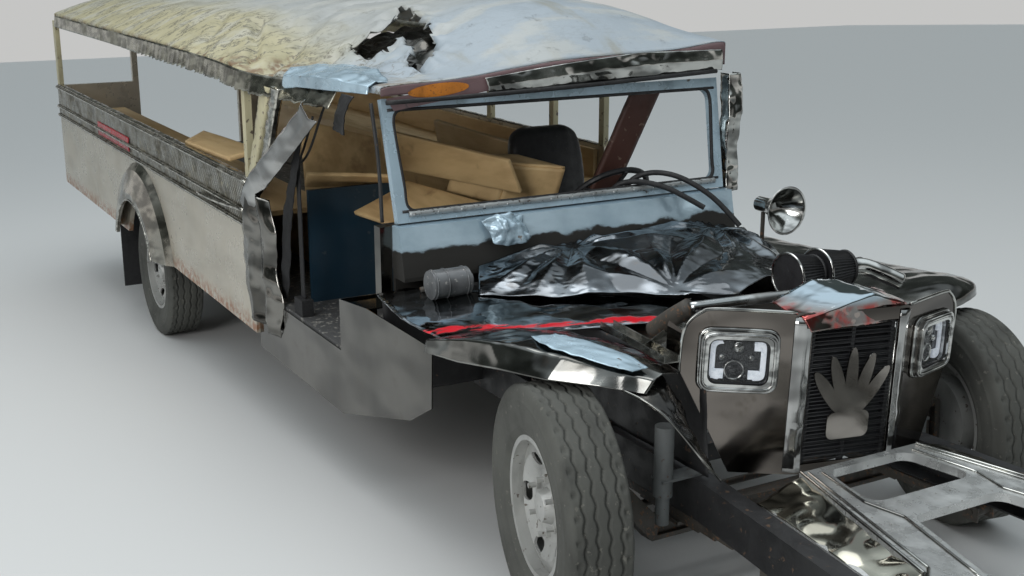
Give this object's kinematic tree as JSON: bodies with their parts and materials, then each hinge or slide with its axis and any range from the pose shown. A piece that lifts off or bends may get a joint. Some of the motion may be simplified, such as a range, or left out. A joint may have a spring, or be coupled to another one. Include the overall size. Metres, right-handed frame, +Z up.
{
  "type": "jeepney",
  "caption": "Long-bodied open-sided passenger jeepney wreck with stainless trim, crushed nose, buckled roof corner and steered front wheels.",
  "frame": {"origin": "on the ground under the centre of the bounding box", "axes": "+X forward, +Y to the vehicle's left, +Z up"},
  "size_m": [8.1076, 2.004, 1.9946],
  "materials": {
    "tyre": "dusty",
    "wheel_steel": "scratched",
    "stainless": "polished, buckled",
    "engine_turned": "engine turned, stained",
    "side_panel": "scuffed",
    "sill_grey": "dull",
    "roof_paint": "weathered",
    "frame_cream": "chipped",
    "pale_blue": "chipped",
    "sign": "faded",
    "black_steel": "satin",
    "bare_iron": "oily",
    "pale_grey": "dull",
    "canister_grey": "dull",
    "black_plastic": "matte",
    "lens": "clear",
    "red_lens": "gloss",
    "black_rubber": "matte",
    "seat_vinyl": "worn",
    "webbing": "matte",
    "navy_board": "matte",
    "plywood": "worn",
    "floor_plate": "worn"
  },
  "bodies": {
    "chassis": {"a_post_left": "stainless", "air_canister": "canister_grey", "air_filters": "black_plastic", "arch_flares": "stainless", "belt_bands": "engine_turned", "benches": "plywood", "cab_board": "navy_board", "chassis_frame": "black_steel", "chrome_horn": "stainless", "cowl": "pale_blue", "dashboard": "black_plastic", "driveline": "bare_iron", "driver_seat": "seat_vinyl", "engine_block": "bare_iron", "fender_left": "stainless", "fender_right": "stainless", "floor": "floor_plate", "front_axle": "bare_iron", "front_bumper": "stainless", "grille_louvres": "black_plastic", "grille_ornament": "stainless", "grille_shell": "stainless", "headlamp_bezels": "stainless", "headlamps": "lens", "hood": "stainless", "hose_lower": "black_rubber", "hose_upper": "black_rubber", "leaf_springs": "bare_iron", "loose_boards": "plywood", "lower_sides": "sill_grey", "mud_flaps": "black_rubber", "radiator": "bare_iron", "rear_axle": "bare_iron", "rear_panels": "side_panel", "rear_step": "black_steel", "roof_frame": "frame_cream", "roof_shell": "roof_paint", "roof_valances": "stainless", "seat_belt": "webbing", "shock_absorbers": "pale_grey", "side_walls": "side_panel", "sign_board": "sign", "steering_column": "black_steel", "tail_lamps": "red_lens", "torn_post_skin": "stainless", "windshield_frame": "pale_blue"},
    "knuckle_left": {"knuckle_left": "bare_iron"},
    "knuckle_right": {"knuckle_right": "bare_iron"},
    "track_rod": {"track_rod": "bare_iron"},
    "steering_wheel": {"steering_wheel": "black_plastic"},
    "front_left_wheel": {"tyre_front_left": "tyre", "wheel_front_left": "wheel_steel"},
    "front_right_wheel": {"tyre_front_right": "tyre", "wheel_front_right": "wheel_steel"},
    "rear_left_wheel": {"tyre_rear_left": "tyre", "wheel_rear_left": "wheel_steel"},
    "rear_right_wheel": {"tyre_rear_right": "tyre", "wheel_rear_right": "wheel_steel"}
  },
  "joints": [
    {"name": "steer_left", "type": "hinge", "parent": "chassis", "child": "knuckle_left", "pos_m": [2.822, 0.65, 0.37], "axis": [0, 0, 1], "range_deg": [-21, 43]},
    {"name": "spin_front_left", "type": "hinge", "parent": "knuckle_left", "child": "front_left_wheel", "pos_m": [2.85062, 0.79724, 0.37], "axis": [0.1908, 0.9816, 0], "continuous": true},
    {"name": "spin_rear_left", "type": "hinge", "parent": "chassis", "child": "rear_left_wheel", "pos_m": [-1.578, 0.8, 0.37], "axis": [0, 1, 0], "continuous": true},
    {"name": "steer_right", "type": "hinge", "parent": "chassis", "child": "knuckle_right", "pos_m": [2.822, -0.65, 0.37], "axis": [0, 0, 1], "range_deg": [-21, 43]},
    {"name": "spin_front_right", "type": "hinge", "parent": "knuckle_right", "child": "front_right_wheel", "pos_m": [2.79338, -0.79724, 0.37], "axis": [0.1908, 0.9816, 0], "continuous": true},
    {"name": "spin_rear_right", "type": "hinge", "parent": "chassis", "child": "rear_right_wheel", "pos_m": [-1.578, -0.8, 0.37], "axis": [0, 1, 0], "continuous": true},
    {"name": "track_rod_swing", "type": "hinge", "parent": "knuckle_left", "child": "track_rod", "pos_m": [2.67476, 0.67862, 0.249], "axis": [0, 0, 1], "range_deg": [-43, 21]},
    {"name": "steering_wheel_turn", "type": "hinge", "parent": "chassis", "child": "steering_wheel", "pos_m": [1.28847, 0.385, 0.9977], "axis": [-0.6572, 0, 0.7537], "range_deg": [-252, 516]}
  ],
  "couplings": [
    {"joint": "steer_right", "follows": "steer_left", "ratio": 1},
    {"joint": "track_rod_swing", "follows": "steer_left", "ratio": -1},
    {"joint": "steering_wheel_turn", "follows": "steer_left", "ratio": 12}
  ]
}
